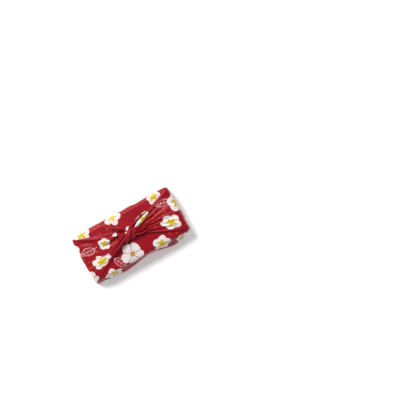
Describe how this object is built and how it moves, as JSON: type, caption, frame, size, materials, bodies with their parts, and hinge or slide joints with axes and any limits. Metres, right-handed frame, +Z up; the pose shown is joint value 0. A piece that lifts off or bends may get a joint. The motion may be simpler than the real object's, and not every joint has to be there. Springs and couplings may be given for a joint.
{
  "type": "wrapped and knotted furoshiki",
  "caption": "Square cotton wrapping cloth folded round a flat oblong filling, its two end corners gathered over the top and tied in a square knot.",
  "frame": {"origin": "middle of the footprint, at the height of the flat base", "axes": "+X along the wrapped length, +Y towards the straight long side, +Z up out of the knot"},
  "size_m": [0.2534, 0.1274, 0.0633],
  "materials": {
    "cloth": "matt printed cotton, crimson with white and yellow blossoms"
  },
  "bodies": {
    "root": {"furoshiki": "cloth"}
  },
  "joints": []
}
